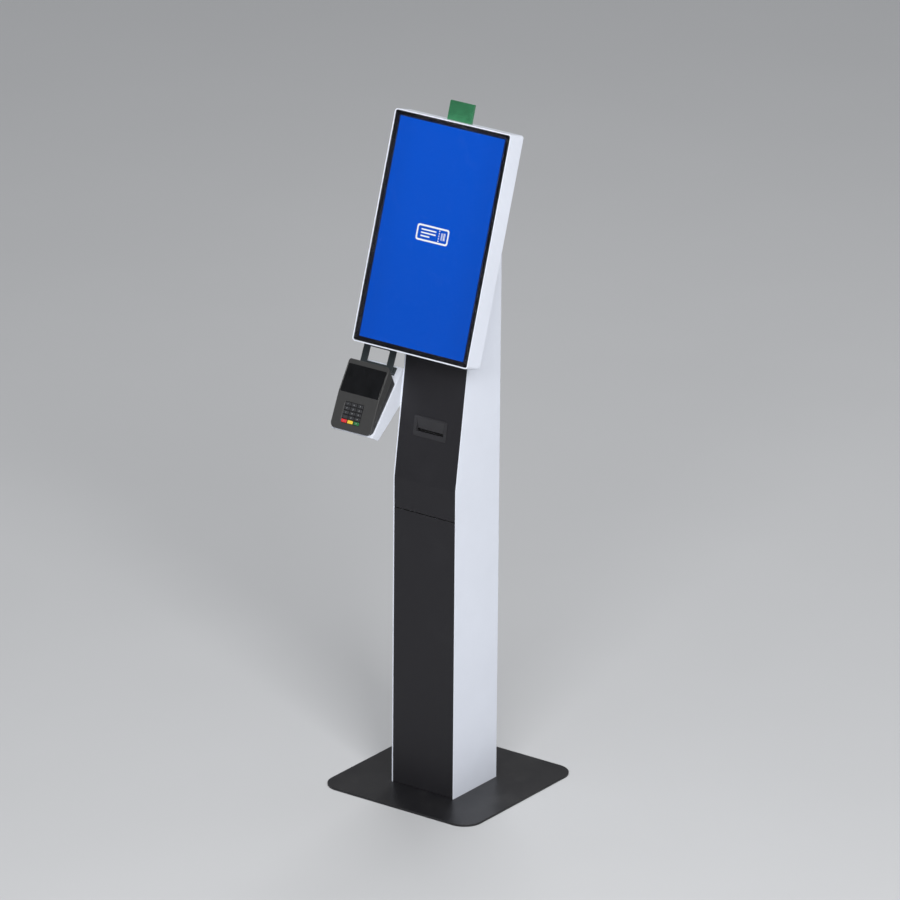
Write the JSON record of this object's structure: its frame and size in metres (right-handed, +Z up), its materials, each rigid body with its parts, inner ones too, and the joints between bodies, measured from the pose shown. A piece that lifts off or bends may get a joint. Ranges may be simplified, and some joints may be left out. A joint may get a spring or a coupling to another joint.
{
  "type": "ticket vending machine",
  "caption": "Free-standing self-service ticket machine: square base plate, slim leaning column, tilted portrait touch display, side payment terminal and receipt printer.",
  "frame": {"origin": "centre of the base plate's underside", "axes": "+Z up, the display faces -Y, +X to the right of a person facing the display"},
  "size_m": [0.5, 0.5, 1.9202],
  "materials": {
    "base_black": "satin powder coat",
    "body_white": "satin powder coat",
    "panel_charcoal": "satin powder coat",
    "zinc_steel": "zinc plated",
    "chrome_trim": "polished",
    "bezel_black": "fine grain",
    "platen_rubber": "ground",
    "bare_aluminium": "anodised",
    "hoop_black": "satin powder coat",
    "receipt_paper": "thermal paper",
    "core_board": "plain",
    "fan_plastic": "moulded",
    "rocker_black": "moulded",
    "display_glass": "clear, flat",
    "mask_black": "printed border",
    "display_blue": "lit screen",
    "beacon_green": "translucent acrylic",
    "led_board": "circuit board",
    "terminal_charcoal": "fine grain",
    "terminal_glass": "dark, glossy",
    "key_board": "circuit board",
    "key_grey": "matt",
    "key_red": "matt",
    "key_yellow": "matt",
    "key_green": "matt"
  },
  "bodies": {
    "frame": {"base_plate": "base_black", "foot_brackets": "zinc_steel", "foot_bolts": "zinc_steel", "column_shell": "body_white", "column_cap": "body_white", "lower_front_panel": "panel_charcoal", "upper_front_panel": "panel_charcoal", "hinge_column_leaves": "zinc_steel", "printer_bezel": "bezel_black", "printer_chassis": "zinc_steel", "print_head": "bare_aluminium", "paper_shelf": "zinc_steel", "roll_holder": "hoop_black", "computer_box": "bare_aluminium", "power_supply": "zinc_steel", "fan_frame": "fan_plastic", "power_inlet": "bezel_black", "head_housing": "body_white", "display_glass": "display_glass", "display_mask": "mask_black", "display_panel": "display_blue", "display_frame": "zinc_steel", "display_rails": "zinc_steel", "head_mount": "hoop_black", "mount_bolts": "zinc_steel", "beacon_plate": "beacon_green", "beacon_socket": "bezel_black", "beacon_led_strip": "led_board", "terminal_lower_shell": "terminal_charcoal", "terminal_upper_shell": "terminal_charcoal", "terminal_screen": "terminal_glass", "keypad_board": "key_board", "terminal_bracket": "body_white", "terminal_hoop": "hoop_black", "bracket_screws": "zinc_steel"},
    "door": {"rear_door": "body_white", "hinge_door_leaves": "zinc_steel", "lock_housing": "chrome_trim"},
    "lock": {"lock_barrel": "chrome_trim", "lock_cam": "zinc_steel"},
    "platen": {"platen_roller": "platen_rubber"},
    "paper": {"paper_roll": "receipt_paper", "roll_core": "core_board"},
    "fan": {"fan_rotor": "fan_plastic"},
    "rocker": {"power_rocker": "rocker_black"},
    "key_one": {"key_one": "key_grey"},
    "key_two": {"key_two": "key_grey"},
    "key_three": {"key_three": "key_grey"},
    "key_four": {"key_four": "key_grey"},
    "key_five": {"key_five": "key_grey"},
    "key_six": {"key_six": "key_grey"},
    "key_seven": {"key_seven": "key_grey"},
    "key_eight": {"key_eight": "key_grey"},
    "key_nine": {"key_nine": "key_grey"},
    "key_star": {"key_star": "key_grey"},
    "key_zero": {"key_zero": "key_grey"},
    "key_hash": {"key_hash": "key_grey"},
    "key_cancel": {"key_cancel": "key_red"},
    "key_clear": {"key_clear": "key_yellow"},
    "key_enter": {"key_enter": "key_green"}
  },
  "joints": [
    {"name": "door_hinge", "type": "hinge", "parent": "frame", "child": "door", "pos_m": [-0.074, 0.083, 0.83], "axis": [0, 0, 1], "range_deg": [0, 110]},
    {"name": "lock_turn", "type": "hinge", "parent": "door", "child": "lock", "pos_m": [0.054, 0.0785, 0.83], "axis": [0, -1, 0], "range_deg": [0, 90]},
    {"name": "platen_spin", "type": "hinge", "parent": "frame", "child": "platen", "pos_m": [0, -0.05393, 1.01959], "axis": [1, 0, 0], "continuous": true},
    {"name": "paper_spin", "type": "hinge", "parent": "frame", "child": "paper", "pos_m": [0, -0.014, 0.918], "axis": [1, 0, 0], "continuous": true},
    {"name": "fan_spin", "type": "hinge", "parent": "frame", "child": "fan", "pos_m": [0, 0.06, 1.42], "axis": [0, 1, 0], "continuous": true},
    {"name": "rocker_tilt", "type": "hinge", "parent": "frame", "child": "rocker", "pos_m": [0.016, 0.0775, 0.13], "axis": [1, 0, 0], "range_deg": [0, 12]},
    {"name": "key_one_press", "type": "slide", "parent": "frame", "child": "key_one", "axis": [0, 0.9158, -0.4016], "range_m": [0, 0.001], "stiffness_N_per_m": 400, "springref_m": -0.0005},
    {"name": "key_two_press", "type": "slide", "parent": "frame", "child": "key_two", "axis": [0, 0.9158, -0.4016], "range_m": [0, 0.001], "stiffness_N_per_m": 400, "springref_m": -0.0005},
    {"name": "key_three_press", "type": "slide", "parent": "frame", "child": "key_three", "axis": [0, 0.9158, -0.4016], "range_m": [0, 0.001], "stiffness_N_per_m": 400, "springref_m": -0.0005},
    {"name": "key_four_press", "type": "slide", "parent": "frame", "child": "key_four", "axis": [0, 0.9158, -0.4016], "range_m": [0, 0.001], "stiffness_N_per_m": 400, "springref_m": -0.0005},
    {"name": "key_five_press", "type": "slide", "parent": "frame", "child": "key_five", "axis": [0, 0.9158, -0.4016], "range_m": [0, 0.001], "stiffness_N_per_m": 400, "springref_m": -0.0005},
    {"name": "key_six_press", "type": "slide", "parent": "frame", "child": "key_six", "axis": [0, 0.9158, -0.4016], "range_m": [0, 0.001], "stiffness_N_per_m": 400, "springref_m": -0.0005},
    {"name": "key_seven_press", "type": "slide", "parent": "frame", "child": "key_seven", "axis": [0, 0.9158, -0.4016], "range_m": [0, 0.001], "stiffness_N_per_m": 400, "springref_m": -0.0005},
    {"name": "key_eight_press", "type": "slide", "parent": "frame", "child": "key_eight", "axis": [0, 0.9158, -0.4016], "range_m": [0, 0.001], "stiffness_N_per_m": 400, "springref_m": -0.0005},
    {"name": "key_nine_press", "type": "slide", "parent": "frame", "child": "key_nine", "axis": [0, 0.9158, -0.4016], "range_m": [0, 0.001], "stiffness_N_per_m": 400, "springref_m": -0.0005},
    {"name": "key_star_press", "type": "slide", "parent": "frame", "child": "key_star", "axis": [0, 0.9158, -0.4016], "range_m": [0, 0.001], "stiffness_N_per_m": 400, "springref_m": -0.0005},
    {"name": "key_zero_press", "type": "slide", "parent": "frame", "child": "key_zero", "axis": [0, 0.9158, -0.4016], "range_m": [0, 0.001], "stiffness_N_per_m": 400, "springref_m": -0.0005},
    {"name": "key_hash_press", "type": "slide", "parent": "frame", "child": "key_hash", "axis": [0, 0.9158, -0.4016], "range_m": [0, 0.001], "stiffness_N_per_m": 400, "springref_m": -0.0005},
    {"name": "key_cancel_press", "type": "slide", "parent": "frame", "child": "key_cancel", "axis": [0, 0.9158, -0.4016], "range_m": [0, 0.001], "stiffness_N_per_m": 400, "springref_m": -0.0005},
    {"name": "key_clear_press", "type": "slide", "parent": "frame", "child": "key_clear", "axis": [0, 0.9158, -0.4016], "range_m": [0, 0.001], "stiffness_N_per_m": 400, "springref_m": -0.0005},
    {"name": "key_enter_press", "type": "slide", "parent": "frame", "child": "key_enter", "axis": [0, 0.9158, -0.4016], "range_m": [0, 0.001], "stiffness_N_per_m": 400, "springref_m": -0.0005}
  ]
}
